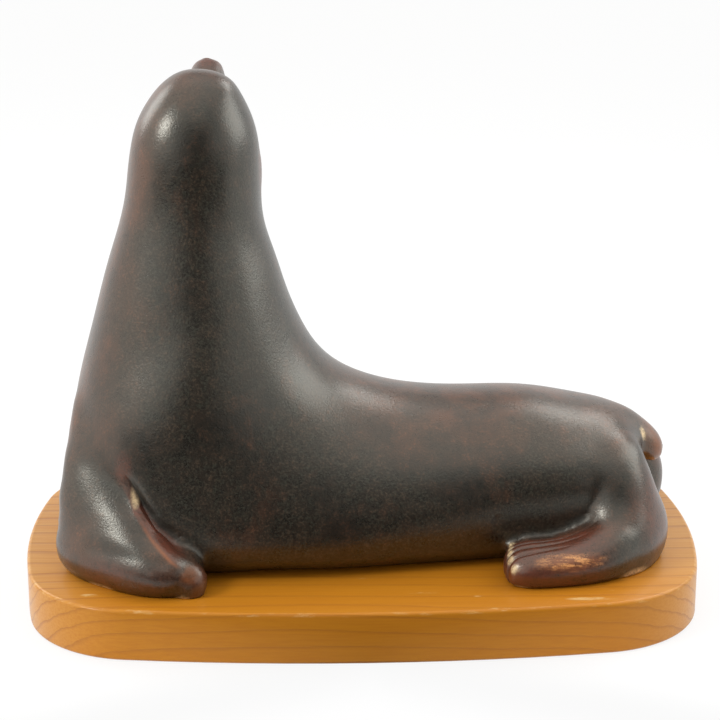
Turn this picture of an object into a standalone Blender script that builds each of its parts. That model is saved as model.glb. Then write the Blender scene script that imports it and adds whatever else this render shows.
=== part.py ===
"""A glazed stoneware seal, lying with its neck raised and its head turned back, on a wooden base.

Everything is in metres, +Z up. The origin is at the middle of the underside of the base. The seal
lies along X with its chest towards -X, and its snout points towards +Y.
"""

import math

import bmesh
import bpy
import numpy as np
from mathutils import Matrix, Vector

MM = 0.001

# Wooden base: a board with bowed sides and round corners
BASE_LENGTH = 285 * MM
BASE_DEPTH = 175 * MM
BASE_THICKNESS = 22 * MM
BASE_CORNER_RADIUS = 48 * MM
BASE_END_BOW = 17 * MM
BASE_SIDE_BOW = 13.7 * MM
BASE_EDGE_ROUND = 1.5 * MM
ARC_STEP = math.radians(7.5)

# The figure stands on the board by its own weight, with a hair of space under it
SEAT_GAP = 0.3 * MM
FLOOR = BASE_THICKNESS + SEAT_GAP

# Skin of the modelled clay: the grid it is built on, and the triangles left in the finished skin
SKIN_GRID = 1.6 * MM
SKIN_TRIANGLES = 11200
RING_POINTS = 72
RING_SPACING = 2.5 * MM

# Softening of the joins between the masses, in passes over the skin
SOFT_PASSES = 40
CRISP_PASSES = 4
CRISP_HEIGHT = 26 * MM
SOFT_HEIGHT = 55 * MM

# The sections and lines below are in millimetres, with heights above the top of the board

# Body and neck, from the rump to the crown: back point x and z, belly point x and z, half width,
# height of the widest place as a share from belly to back, and roundness above and below it
BODY_SECTIONS = [
    (119, 47, 113, 8, 26.5, 0.50, 2.1, 2.5),
    (111.5, 53.5, 103, 0, 35.5, 0.52, 2.0, 2.8),
    (96, 57.8, 89, -4, 42, 0.56, 2.0, 3.0),
    (70, 62.3, 64, -5, 45, 0.52, 2.0, 3.1),
    (40, 62.5, 36, -5, 49, 0.43, 2.0, 3.0),
    (15, 64.7, 10, -5, 53, 0.36, 2.0, 2.8),
    (0, 69.2, -15, -5, 56, 0.29, 2.0, 2.6),
    (-10.5, 75, -45, -5, 58, 0.28, 2.0, 2.5),
    (-20.5, 86, -88, -5, 58, 0.33, 2.0, 2.5),
    (-26, 96.5, -113.5, 16, 55, 0.40, 2.0, 2.5),
    (-31.3, 110, -121, 50, 50, 0.45, 2.0, 2.5),
    (-35.6, 124, -118.4, 72, 43, 0.50, 2.0, 2.5),
    (-39.5, 136, -112.2, 95, 38, 0.50, 2.0, 2.5),
    (-40.8, 147, -104.7, 122, 33, 0.50, 2.0, 2.5),
    (-41, 157, -97.5, 146, 30, 0.50, 2.0, 2.5),
    (-41.2, 165, -95, 163, 29, 0.50, 2.0, 2.5),
    (-41.8, 173, -93.4, 173, 28, 0.50, 2.0, 2.5),
    (-43.6, 180.5, -91, 180.5, 26, 0.50, 2.0, 2.5),
    (-46.6, 187.5, -87, 187.5, 22.5, 0.50, 2.0, 2.5),
    (-49.8, 193.8, -82, 194, 17.5, 0.50, 2.0, 2.5),
    (-54.2, 198.2, -76.2, 198.7, 11.5, 0.50, 2.0, 2.5),
    (-60.3, 200.7, -71.5, 201.1, 5.5, 0.50, 2.0, 2.5),
]

# The head faces a little to the side of +Y, so its middle moves along X on the way to the nose
HEAD_MIDDLE_X = -67.8
HEAD_TURN = 0.075

# Snout, from inside the head to the nose: centre y z, half width, half height
SNOUT_SECTIONS = [
    (-4, 172, 21, 20),
    (10, 175, 20, 17),
    (22, 177.5, 17, 13.5),
    (33, 180.5, 12.5, 10.5),
    (42, 184.5, 9.5, 8.6),
    (49, 187.8, 8.2, 7.7),
    (54, 189.4, 8.1, 7.3),
    (57.5, 190.2, 7.5, 6.7),
    (59, 190.6, 5.7, 5.1),
]
SNOUT_ROUNDNESS = 2.3

# Ears: centre x from the middle of the head, y, z, half width, half height
EAR_SECTIONS = [
    (25.2, 6, 167, 1.4, 1.2),
    (25.8, 5, 164, 2.0, 1.8),
    (26.2, 3.5, 159, 2.3, 2.2),
    (26.4, 2, 155, 1.9, 1.8),
    (26.4, 1.4, 152.5, 1.0, 0.9),
]

# Front flipper: level sections from the board up, height, centre x y, half length, half width
# and the angle of its length to the X axis in degrees
FLIPPER_SECTIONS = [
    (-4, -97, -47.6, 25.6, 11, -36),
    (0, -96.6, -47.6, 29.6, 15, -36),
    (3, -96.4, -47.6, 32.4, 17.5, -36),
    (8, -96.8, -47.8, 33.8, 18.6, -36),
    (12, -97.2, -47.8, 33.6, 18.4, -36),
    (15.5, -98.4, -47.6, 31.6, 17.2, -36),
    (19, -100.4, -46.8, 28.4, 15.4, -36),
    (22, -102.2, -45.2, 26.2, 14.6, -35),
    (25, -102.6, -43.8, 24.4, 14.2, -32),
    (29, -103.6, -41.2, 23.4, 14.2, -30),
    (36, -104.8, -36, 20, 15, -20),
    (46, -104.8, -31, 19, 14.5, -20),
    (58, -105.3, -23, 15, 16, -78),
    (72, -100.5, -12, 11, 17, -90),
    (86, -95, -4, 10, 14, -90),
]

# Knob at the flipper's tip, in the same order
FLIPPER_TIP_SECTIONS = [
    (-4, -72, -65.2, 5, 5, -36),
    (0, -71.8, -65.2, 6.6, 6.6, -36),
    (4, -71.6, -65.2, 7.6, 7.6, -36),
    (8, -71.8, -65, 7.6, 7.6, -36),
    (11, -72.4, -64.6, 6.6, 6.6, -36),
    (13.5, -73.2, -64, 4.8, 4.8, -36),
    (15, -74, -63.4, 2.4, 2.4, -36),
]

# Hind leg: level sections from the board up to the hip, in the same order
LEG_SECTIONS = [
    (-4, 107, -34, 22, 13.5, 60),
    (0, 107.5, -34, 24, 15.5, 60),
    (7, 108, -34, 25, 17.2, 60),
    (14, 108, -34, 24, 17.2, 60),
    (21, 107, -31.5, 21, 17, 62),
    (28, 103, -28, 17.5, 19.5, 66),
    (35, 100, -25, 16.5, 20.5, 70),
    (42, 97.5, -21, 16, 20.5, 70),
    (48, 95, -16.5, 13.5, 20, 70),
    (53, 91, -10, 8, 14, 70),
]

# Hind foot from the toes to the heel: centre x y z, half width outwards, half height
FOOT_SECTIONS = [
    (56.6, -55, 6, 5, 3),
    (57.4, -55, 5.8, 8.5, 5),
    (59.4, -55, 5.6, 11.4, 7),
    (63.5, -55, 5.6, 12.9, 8.3),
    (76, -54.5, 6, 13.5, 9),
    (90, -51, 7, 14.5, 10.5),
    (101, -45, 9.5, 15, 12.5),
    (110, -37, 12, 13, 13),
]

# Instep between the hind foot and the flank, in the same order
INSTEP_SECTIONS = [
    (76, -46, 5, 6, 7),
    (83, -45.5, 7.5, 7.5, 10),
    (90, -44.2, 10, 8.8, 12.6),
    (98, -41.5, 13, 10, 14.6),
    (106, -37.5, 15, 10.5, 14),
]
FAR_HEEL_SHIFT = (8, 9)
HEEL_HEIGHT = 20
HIP_HEIGHT = 48

# Tail: centre x y z, half width, half thickness
TAIL_SECTIONS = [
    (98, 3, 44, 15, 9),
    (108, 3, 46.2, 14, 8.8),
    (115.5, 3, 42.8, 12.5, 8),
    (121.5, 3, 38.4, 11, 7.2),
    (125.8, 3, 33.2, 8.8, 5.6),
    (127.2, 3, 30.4, 4.8, 3),
]

# Lines cut between the five toes, drawn in plan. The far foot has the same lines.
TOE_LINES = [
    [(54, -61.2), (66, -61.4), (84, -58)],
    [(54, -56.4), (70, -56.0), (94, -51.5)],
    [(54, -51.8), (72, -51.2), (97, -46.5)],
    [(54, -47.4), (74, -46.6)],
]
TOE_LINE_DEPTH = 1.7
TOE_LINE_HALF_WIDTH = 0.9
TOE_LINE_FADE = 26
TOE_LINE_HEIGHT = 24

# Crevice behind the free edge of the front flipper, drawn from the side: x, height
FLIPPER_GAP_LINE = [(-97, 46), (-94.5, 42.5), (-90, 33.5), (-83.3, 25.4), (-76, 19), (-71, 15.6)]
FLIPPER_GAP_DEPTH = 3.4
FLIPPER_GAP_HALF_WIDTH = 1.9
SIDE_REACH = 30

# Shallow hollow between the wrist and the lower edge of the front flipper
FLIPPER_HOLLOW_LINE = [(-112, -60, 17), (-98, -67, 17), (-82, -72, 15)]
FLIPPER_HOLLOW_DEPTH = 0.8
FLIPPER_HOLLOW_HALF_WIDTH = 3.6

# Face, with x measured to each side of the middle of the head
MOUTH_LINE = [(6.8, 30, 176), (7.5, 40, 181), (6.2, 49, 184.5), (3.6, 55, 186), (0, 57.5, 186.4)]
MOUTH_DEPTH = 1.0
MOUTH_HALF_WIDTH = 0.9
NOSTRIL = [(2.6, 56.5, 193.4), (3.9, 55.2, 192)]
NOSTRIL_DEPTH = 1.2
NOSTRIL_HALF_WIDTH = 0.9
EYE_CENTRE = (15.0, 24, 189)
EYE_RADIUS = 3.4
EYE_RISE = 0.9
EYE_LID_DEPTH = 0.7
EYE_LID_HALF_WIDTH = 0.7


def clear_scene():
    for old in list(bpy.data.objects):
        bpy.data.objects.remove(old, do_unlink=True)


def new_collection(name):
    collection = bpy.data.collections.new(name)
    bpy.context.scene.collection.children.link(collection)
    return collection


def new_material(name, colour, roughness):
    material = bpy.data.materials.new(name)
    material.use_nodes = True
    shader = material.node_tree.nodes["Principled BSDF"]
    shader.inputs["Base Color"].default_value = (*colour, 1)
    shader.inputs["Roughness"].default_value = roughness
    material.diffuse_color = (*colour, 1)
    return material


def natural_spline(knots, values, places):
    """Values at the places, on a natural cubic spline through one row of values for each knot."""
    count = len(knots)
    gaps = np.diff(knots)
    system = np.eye(count)
    right = np.zeros_like(values)
    for i in range(1, count - 1):
        system[i, i - 1 : i + 2] = gaps[i - 1], 2 * (gaps[i - 1] + gaps[i]), gaps[i]
        rise = (values[i + 1] - values[i]) / gaps[i] - (values[i] - values[i - 1]) / gaps[i - 1]
        right[i] = 6 * rise
    bend = np.linalg.solve(system, right)
    index = np.clip(np.searchsorted(knots, places) - 1, 0, count - 2)
    gap = gaps[index][:, None]
    after = (knots[index + 1] - places)[:, None] / gap
    before = 1 - after
    straight = after * values[index] + before * values[index + 1]
    curved = (after**3 - after) * bend[index] + (before**3 - before) * bend[index + 1]
    return straight + curved * gap**2 / 6


def fine_rows(rows, centres):
    """The rows with more between them, a ring spacing apart along their centres."""
    rows = np.array(rows, float)
    steps = np.linalg.norm(np.diff(centres, axis=0), axis=1)
    knots = np.concatenate([[0], np.cumsum(steps)])
    count = max(2, round(knots[-1] * MM / RING_SPACING))
    return natural_spline(knots, rows, np.linspace(0, knots[-1], count + 1))


def superellipse(power_above, power_below):
    """One turn of across and up, each from -1 to 1, with a roundness for the part above and below."""
    angle = np.linspace(0, 2 * math.pi, RING_POINTS, endpoint=False)
    power = np.where(np.sin(angle) >= 0, power_above, power_below)
    across = np.sign(np.cos(angle)) * np.abs(np.cos(angle)) ** (2 / power)
    up = np.sign(np.sin(angle)) * np.abs(np.sin(angle)) ** (2 / power)
    return across, up


def loft(rings):
    """A closed mesh over rings of equally many points, with a cap on the first and the last."""
    mesh = bmesh.new()
    rows = [[mesh.verts.new(Vector(point) * MM) for point in ring] for ring in rings]
    for lower, upper in zip(rows, rows[1:]):
        for i in range(len(lower)):
            j = (i + 1) % len(lower)
            mesh.faces.new((lower[i], lower[j], upper[j], upper[i]))
    mesh.faces.new(rows[0])
    mesh.faces.new(rows[-1])
    bmesh.ops.recalc_face_normals(mesh, faces=mesh.faces)
    bmesh.ops.translate(mesh, vec=(0, 0, FLOOR), verts=mesh.verts)
    return mesh


def body_form():
    """Trunk and neck, each section lying in the plane through its back and belly points."""
    rows = np.array(BODY_SECTIONS, float)
    centres = (rows[:, 0:2] + rows[:, 2:4]) / 2
    rings = []
    for row in fine_rows(rows, centres):
        back_x, back_z, belly_x, belly_z, half_width, widest, above, below = row
        back = np.array([back_x, 0, back_z])
        belly = np.array([belly_x, 0, belly_z])
        across, up = superellipse(above, below)
        share = np.where(up >= 0, widest + (1 - widest) * up, widest + widest * up)
        ring = belly + share[:, None] * (back - belly)
        ring[:, 1] = half_width * across
        rings.append(ring)
    return loft(rings)


def head_middle(y):
    return HEAD_MIDDLE_X + HEAD_TURN * y


def path_form(sections, outward, roundness=2.0):
    """A form along a path, with oval sections square to it. Its width runs along outward."""
    rows = fine_rows(sections, np.array(sections, float)[:, :3])
    centres = rows[:, :3]
    ways = np.gradient(centres, axis=0)
    across, up = superellipse(roundness, roundness)
    rings = []
    for centre, way, (half_width, half_height) in zip(centres, ways, rows[:, 3:5]):
        way = way / np.linalg.norm(way)
        side = np.array(outward, float) - np.dot(outward, way) * way
        side = side / np.linalg.norm(side)
        top = np.cross(way, side)
        rings.append(centre + np.outer(half_width * across, side) + np.outer(half_height * up, top))
    return loft(rings)


def level_form(sections, roundness=2.2):
    """A form of level sections, each turned about the vertical."""
    rows = fine_rows(sections, np.array(sections, float)[:, :3])
    along, aside = superellipse(roundness, roundness)
    rings = []
    for height, x, y, half_length, half_width, degrees in rows:
        turn = math.radians(degrees)
        ring = np.zeros((RING_POINTS, 3))
        ring[:, 0] = x + half_length * along * math.cos(turn) - half_width * aside * math.sin(turn)
        ring[:, 1] = y + half_length * along * math.sin(turn) + half_width * aside * math.cos(turn)
        ring[:, 2] = height
        rings.append(ring)
    return loft(rings)


def mirrored(form, heel_shift=(0, 0)):
    """The same form on the far side, with its heel moved along and out, and its hip in the same place."""
    copy = form.copy()
    bmesh.ops.transform(copy, matrix=Matrix.Scale(-1, 4, (0, 1, 0)), verts=copy.verts)
    for vertex in copy.verts:
        height = (vertex.co.z - FLOOR) / MM
        share = min(1, max(0, (HIP_HEIGHT - height) / (HIP_HEIGHT - HEEL_HEIGHT)))
        vertex.co.x += heel_shift[0] * MM * share
        vertex.co.y += heel_shift[1] * MM * share
    bmesh.ops.reverse_faces(copy, faces=copy.faces)
    return copy


def as_object(name, form, collection):
    mesh = bpy.data.meshes.new(name)
    form.to_mesh(mesh)
    form.free()
    made = bpy.data.objects.new(name, mesh)
    collection.objects.link(made)
    return made


def apply_modifiers(made):
    graph = bpy.context.evaluated_depsgraph_get()
    mesh = bpy.data.meshes.new_from_object(made.evaluated_get(graph))
    made.modifiers.clear()
    made.data = mesh


def distance_to_line(points, line):
    """Distance of each point from a line of straight stretches, and how far along it is."""
    nearest = np.full(len(points), np.inf)
    along = np.zeros(len(points))
    run = 0.0
    for start, end in zip(line, line[1:]):
        stretch = end - start
        length = np.linalg.norm(stretch)
        share = np.clip((points - start) @ stretch / length**2, 0, 1)
        away = np.linalg.norm(points - start - share[:, None] * stretch, axis=1)
        closer = away < nearest
        nearest[closer] = away[closer]
        along[closer] = (run + share * length)[closer]
        run += length
    return nearest, along, run


def groove(places, line, depth, half_width):
    """Depth of a rounded groove along a line, at each place."""
    away, _, _ = distance_to_line(places, np.array(line, float))
    return depth * np.exp(-((away / half_width) ** 2))


def side_groove(places, line, depth, half_width):
    """Depth of a groove drawn from the side, on the skin that lies far enough out."""
    away, _, _ = distance_to_line(places[:, [0, 2]], np.array(line, float))
    return np.where(places[:, 1] < -SIDE_REACH, depth * np.exp(-((away / half_width) ** 2)), 0)


def toe_grooves(places):
    """Grooves between the toes, deepest at their tips and fading along the foot."""
    total = np.zeros(len(places))
    for line in TOE_LINES:
        away, along, length = distance_to_line(places[:, :2], np.array(line, float))
        fade = np.clip((length - along) / TOE_LINE_FADE, 0, 1)
        total += TOE_LINE_DEPTH * fade * np.exp(-((away / TOE_LINE_HALF_WIDTH) ** 2))
    return np.where(places[:, 2] < TOE_LINE_HEIGHT, total, 0)


def eye_relief(places):
    """A low round eyeball inside a fine lid line."""
    away = np.linalg.norm(places - np.array(EYE_CENTRE), axis=1)
    ball = EYE_RISE * np.sqrt(np.clip(1 - (away / EYE_RADIUS) ** 2, 0, 1))
    lid = EYE_LID_DEPTH * np.exp(-(((away - EYE_RADIUS) / EYE_LID_HALF_WIDTH) ** 2))
    return lid - ball


def carve(mesh):
    """Moves the skin in along the grooves, on both sides of the figure."""
    count = len(mesh.vertices)
    places = np.empty(count * 3)
    normals = np.empty(count * 3)
    mesh.vertices.foreach_get("co", places)
    mesh.vertices.foreach_get("normal", normals)
    places = places.reshape(-1, 3)
    normals = normals.reshape(-1, 3)
    clay = (places - np.array([0, 0, FLOOR])) / MM
    near = np.stack([clay[:, 0], -np.abs(clay[:, 1]), clay[:, 2]], 1)
    far_side = clay[:, 1] > 0
    foot = near.copy()
    foot[far_side, 0] -= FAR_HEEL_SHIFT[0]
    foot[far_side, 1] += FAR_HEEL_SHIFT[1]
    depth = toe_grooves(foot)
    depth += side_groove(near, FLIPPER_GAP_LINE, FLIPPER_GAP_DEPTH, FLIPPER_GAP_HALF_WIDTH)
    depth += groove(near, FLIPPER_HOLLOW_LINE, FLIPPER_HOLLOW_DEPTH, FLIPPER_HOLLOW_HALF_WIDTH)
    head = np.stack([np.abs(clay[:, 0] - head_middle(clay[:, 1])), clay[:, 1], clay[:, 2]], 1)
    depth += groove(head, MOUTH_LINE, MOUTH_DEPTH, MOUTH_HALF_WIDTH)
    depth += groove(head, NOSTRIL, NOSTRIL_DEPTH, NOSTRIL_HALF_WIDTH)
    depth += eye_relief(head)
    places -= normals * depth[:, None] * MM
    mesh.vertices.foreach_set("co", places.ravel())
    mesh.update()


def soften(seal):
    """Smooths the joins, strongly above the flippers and lightly at them and at the toes."""
    crisp = seal.modifiers.new("all over", "SMOOTH")
    crisp.factor = 0.5
    crisp.iterations = CRISP_PASSES
    group = seal.vertex_groups.new(name="soft")
    span = SOFT_HEIGHT - CRISP_HEIGHT
    for vertex in seal.data.vertices:
        weight = min(1, max(0, (vertex.co.z - FLOOR - CRISP_HEIGHT) / span))
        group.add([vertex.index], weight, "REPLACE")
    soft = seal.modifiers.new("joins", "SMOOTH")
    soft.factor = 0.5
    soft.iterations = SOFT_PASSES
    soft.vertex_group = group.name
    apply_modifiers(seal)
    seal.vertex_groups.clear()


def cut_flat(seal):
    """Grinds the foot of the figure flat where it stands."""
    mesh = bmesh.new()
    mesh.from_mesh(seal.data)
    everything = mesh.verts[:] + mesh.edges[:] + mesh.faces[:]
    bmesh.ops.bisect_plane(
        mesh, geom=everything, dist=1e-7, plane_co=(0, 0, FLOOR), plane_no=(0, 0, 1), clear_inner=True
    )
    rim = [edge for edge in mesh.edges if edge.is_boundary]
    bmesh.ops.triangle_fill(mesh, edges=rim, use_beauty=True, normal=(0, 0, -1))
    bmesh.ops.recalc_face_normals(mesh, faces=mesh.faces)
    mesh.to_mesh(seal.data)
    mesh.free()


def make_seal(collection, material):
    flipper = level_form(FLIPPER_SECTIONS, 2.4)
    tip = level_form(FLIPPER_TIP_SECTIONS)
    leg = level_form(LEG_SECTIONS)
    foot = path_form(FOOT_SECTIONS, (0.25, -1, 0), 2.3)
    instep = path_form(INSTEP_SECTIONS, (0.25, -1, 0))
    snout = [(head_middle(row[0]), *row) for row in SNOUT_SECTIONS]
    ear = [(HEAD_MIDDLE_X + row[0], *row[1:]) for row in EAR_SECTIONS]
    other_ear = [(HEAD_MIDDLE_X - row[0], *row[1:]) for row in EAR_SECTIONS]
    forms = [
        body_form(),
        path_form(snout, (1, 0, 0), SNOUT_ROUNDNESS),
        path_form(ear, (1, 0, 0)),
        path_form(other_ear, (1, 0, 0)),
        flipper,
        mirrored(flipper),
        tip,
        mirrored(tip),
        leg,
        mirrored(leg, FAR_HEEL_SHIFT),
        foot,
        mirrored(foot, FAR_HEEL_SHIFT),
        instep,
        mirrored(instep, FAR_HEEL_SHIFT),
        path_form(TAIL_SECTIONS, (0, -1, 0)),
    ]
    joined = bmesh.new()
    for form in forms:
        piece = bpy.data.meshes.new("piece")
        form.to_mesh(piece)
        joined.from_mesh(piece)
    seal = as_object("seal_figure", joined, collection)
    remesh = seal.modifiers.new("clay", "REMESH")
    remesh.mode = "VOXEL"
    remesh.voxel_size = SKIN_GRID
    apply_modifiers(seal)
    soften(seal)
    carve(seal.data)
    thin = seal.modifiers.new("skin", "DECIMATE")
    thin.ratio = SKIN_TRIANGLES / (2 * len(seal.data.polygons))
    apply_modifiers(seal)
    cut_flat(seal)
    seal.data.materials.append(material)
    return seal


def base_outline():
    """Points of the board's edge, as arcs that meet tangentially."""
    half_length = BASE_LENGTH / 2
    half_depth = BASE_DEPTH / 2
    side_radius = (half_length**2 + BASE_SIDE_BOW**2) / (2 * BASE_SIDE_BOW)
    end_radius = (half_depth**2 + BASE_END_BOW**2) / (2 * BASE_END_BOW)
    side_centre = Vector((0, half_depth - side_radius))
    end_centre = Vector((half_length - end_radius, 0))
    side_reach = side_radius - BASE_CORNER_RADIUS
    end_reach = end_radius - BASE_CORNER_RADIUS
    between = end_centre - side_centre
    along = (side_reach**2 - end_reach**2 + between.length_squared) / (2 * between.length)
    aside = math.sqrt(side_reach**2 - along**2)
    way = between.normalized()
    corner_centre = side_centre + way * along + Vector((way.y, -way.x)) * aside
    end_angle = math.atan2(*(corner_centre - end_centre).yx)
    side_angle = math.atan2(*(corner_centre - side_centre).yx)
    quarter = arc(end_centre, end_radius, 0, end_angle)
    quarter += arc(corner_centre, BASE_CORNER_RADIUS, end_angle, side_angle)[1:]
    quarter += arc(side_centre, side_radius, side_angle, math.pi / 2)[1:]
    half = quarter + [(-x, y) for x, y in reversed(quarter[:-1])]
    return half + [(x, -y) for x, y in reversed(half[1:-1])]


def arc(centre, radius, start, end):
    steps = max(3, math.ceil(abs(end - start) / ARC_STEP))
    angles = [start + (end - start) * i / steps for i in range(steps + 1)]
    return [(centre.x + radius * math.cos(a), centre.y + radius * math.sin(a)) for a in angles]


def make_base(collection, material):
    board = bmesh.new()
    face = board.faces.new([board.verts.new((x, y, 0)) for x, y in base_outline()])
    raised = bmesh.ops.extrude_face_region(board, geom=[face])["geom"]
    top = [item for item in raised if isinstance(item, bmesh.types.BMVert)]
    bmesh.ops.translate(board, vec=(0, 0, BASE_THICKNESS), verts=top)
    bmesh.ops.recalc_face_normals(board, faces=board.faces)
    base = as_object("wooden_base", board, collection)
    bevel = base.modifiers.new("eased edges", "BEVEL")
    bevel.width = BASE_EDGE_ROUND
    bevel.segments = 2
    bevel.limit_method = "ANGLE"
    bevel.angle_limit = math.radians(60)
    base.data.materials.append(material)
    return base


def main():
    clear_scene()
    collection = new_collection("seal_figurine")
    glaze = new_material("brown_glaze", (0.045, 0.03, 0.024), 0.38)
    wood = new_material("varnished_wood", (0.52, 0.24, 0.07), 0.4)
    make_base(collection, wood)
    make_seal(collection, glaze)


main()
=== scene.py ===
"""A glazed stoneware seal on its varnished wooden base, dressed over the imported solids.

Everything is in metres, +Z up. The seal lies along X with its chest towards -X and its snout
towards +Y.
"""

import math

import bmesh
import bpy
import numpy as np
from mathutils import Matrix, Vector


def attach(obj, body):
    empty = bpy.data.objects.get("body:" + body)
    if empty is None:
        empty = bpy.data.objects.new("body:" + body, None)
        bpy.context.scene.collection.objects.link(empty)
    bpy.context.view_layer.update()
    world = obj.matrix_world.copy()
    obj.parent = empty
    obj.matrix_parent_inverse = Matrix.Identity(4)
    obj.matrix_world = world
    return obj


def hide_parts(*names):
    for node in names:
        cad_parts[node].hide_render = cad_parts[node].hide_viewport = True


MM = 0.001

# Photograph
PHOTO_LENS = 110.13
SENSOR_WIDTH = 36
VIEW_DISTANCE = 929.2 * MM
VIEW_ELEVATION = math.radians(18)
VIEW_TURN = math.radians(2.005)
VIEW_TARGET = Vector((-0.44, 0, 99)) * MM

# Wooden base: a board with bowed sides and round corners
BASE_LENGTH = 285 * MM
BASE_DEPTH = 175 * MM
BASE_THICKNESS = 22 * MM
BASE_CORNER_RADIUS = 48 * MM
BASE_END_BOW = 17 * MM
BASE_SIDE_BOW = 13.7 * MM
BASE_EDGE_ROUND = 1.5 * MM
ARC_STEP = math.radians(1.5)

# Scuffs worn through the varnish of the top: centre x y and half size, in millimetres
SCUFFS = [
    ((90, -76), (12, 1.8)),
    ((52, -84.5), (7, 1.2)),
    ((45, -72), (2.5, 1.0)),
    ((-112, -66), (4, 2)),
]
SCUFF_HEIGHTS = (21, 21.8)

# Wood colours, as linear red, green and blue
WOOD_LIGHT = (0.54, 0.212, 0.014)
WOOD_DEEP = (0.49, 0.175, 0.009)
# Painted sheen towards the ends of the board
WOOD_SHEEN_AT_ENDS = (0.54, 0.29, 0.080)
WOOD_FIBRE = (0.45, 0.15, 0.010)
WOOD_LINE = (0.30, 0.095, 0.014)
WOOD_WORN = (0.70, 0.47, 0.20)

# Grain lines of the board, in millimetres: their spacing, how far they move for each millimetre
# up, how far they wander, and the half length over which the wood turns pale with a painted sheen
GRAIN_SPACING = 9.5
GRAIN_TILT = 1.3
GRAIN_DRIFT = 26
PALE_HALF_LENGTH = 142

SEAT_GAP = 0.3 * MM
FLOOR = BASE_THICKNESS + SEAT_GAP

# Skin of the modelled clay
SKIN_GRID = 1.5 * MM
RING_POINTS = 96
RING_SPACING = 2 * MM
SOFT_PASSES = 58
CRISP_PASSES = 8
CRISP_HEIGHT = 26 * MM
SOFT_HEIGHT = 55 * MM

# Distance from the fine carving, in millimetres, within which the skin is divided again
COARSE_REACH = 4.6
FINE_REACH = 2.6

# The sections and lines below are in millimetres, with heights above the top of the board

# Body and neck, from the rump to the crown: back point x and z, belly point x and z, half width,
# height of the widest place as a share from belly to back, and roundness above and below it
BODY_SECTIONS = [
    (119, 47, 113, 8, 26.5, 0.50, 2.1, 2.5),
    (111.5, 53.5, 103, 0, 35.5, 0.52, 2.0, 2.8),
    (96, 57.8, 89, -4, 42, 0.56, 2.0, 3.0),
    (70, 62.3, 64, -5, 45, 0.52, 2.0, 3.1),
    (40, 62.5, 36, -5, 49, 0.43, 2.0, 3.0),
    (15, 64.7, 10, -5, 53, 0.36, 2.0, 2.8),
    (0, 69.2, -15, -5, 56, 0.29, 2.0, 2.6),
    (-10.5, 75, -45, -5, 58, 0.28, 2.0, 2.5),
    (-20.5, 86, -88, -5, 58, 0.33, 2.0, 2.5),
    (-26, 96.5, -113.5, 16, 55, 0.40, 2.0, 2.5),
    (-31.3, 110, -121, 50, 50, 0.45, 2.0, 2.5),
    (-35.6, 124, -118.4, 72, 43, 0.50, 2.0, 2.5),
    (-39.5, 136, -112.2, 95, 38, 0.50, 2.0, 2.5),
    (-40.8, 147, -104.7, 122, 33, 0.50, 2.0, 2.5),
    (-41, 157, -97.5, 146, 30, 0.50, 2.0, 2.5),
    (-41.2, 165, -95, 163, 29, 0.50, 2.0, 2.5),
    (-41.8, 173, -93.4, 173, 28, 0.50, 2.0, 2.5),
    (-43.6, 180.5, -91, 180.5, 26, 0.50, 2.0, 2.5),
    (-46.6, 187.5, -87, 187.5, 22.5, 0.50, 2.0, 2.5),
    (-49.8, 193.8, -82, 194, 17.5, 0.50, 2.0, 2.5),
    (-54.2, 198.2, -76.2, 198.7, 11.5, 0.50, 2.0, 2.5),
    (-60.3, 200.7, -71.5, 201.1, 5.5, 0.50, 2.0, 2.5),
]

# The head faces a little to the side of +Y, so its middle moves along X on the way to the nose
HEAD_MIDDLE_X = -67.8
HEAD_TURN = 0.075

# Snout, from inside the head to the nose: centre y z, half width, half height
SNOUT_SECTIONS = [
    (-4, 172, 21, 20),
    (10, 175, 20, 17),
    (22, 176, 18.5, 15),
    (33, 178.6, 14.6, 12.4),
    (42, 182.4, 11.2, 10.7),
    (49, 186.6, 9, 8.9),
    (54, 189.4, 8.1, 7.3),
    (57.5, 190.2, 7.5, 6.7),
    (59, 190.6, 5.7, 5.1),
]
SNOUT_ROUNDNESS = 2.3

# Ears: centre x from the middle of the head, y, z, half width, half height
EAR_SECTIONS = [
    (25.2, 6, 167, 1.4, 1.2),
    (25.8, 5, 164, 2.0, 1.8),
    (26.2, 3.5, 159, 2.3, 2.2),
    (26.4, 2, 155, 1.9, 1.8),
    (26.4, 1.4, 152.5, 1.0, 0.9),
]

# Front flipper: level sections from the board up, height, centre x y, half length, half width
# and the angle of its length to the X axis in degrees
FLIPPER_SECTIONS = [
    (-4, -97, -47.6, 25.6, 11, -36),
    (0, -96.6, -47.6, 29.6, 15, -36),
    (3, -96.4, -47.6, 32.4, 17.5, -36),
    (8, -96.8, -47.8, 33.8, 18.6, -36),
    (12, -97.2, -47.8, 33.6, 18.4, -36),
    (15.5, -98.4, -47.6, 31.6, 17.2, -36),
    (19, -100.4, -46.8, 28.4, 15.4, -36),
    (22, -102.2, -45.2, 26.2, 14.6, -35),
    (25, -102.6, -43.8, 24.4, 14.2, -32),
    (29, -103.6, -41.2, 23.4, 14.2, -30),
    (36, -104.8, -36, 20, 15, -20),
    (46, -104.8, -31, 19, 14.5, -20),
    (58, -105.3, -23, 15, 16, -78),
    (72, -100.5, -12, 11, 17, -90),
    (86, -95, -4, 10, 14, -90),
]

# Knob at the flipper's tip, in the same order
FLIPPER_TIP_SECTIONS = [
    (-4, -74, -63.7, 7.5, 5.2, -36),
    (0, -73.8, -63.7, 9.1, 6.8, -36),
    (4, -73.6, -63.7, 10.1, 7.6, -36),
    (8, -73.8, -63.5, 10.1, 7.4, -36),
    (11, -74.4, -63.1, 9.1, 6.2, -36),
    (13.5, -75.2, -62.5, 7.3, 4.4, -36),
    (15, -76, -61.9, 4.9, 2.2, -36),
]

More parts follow.
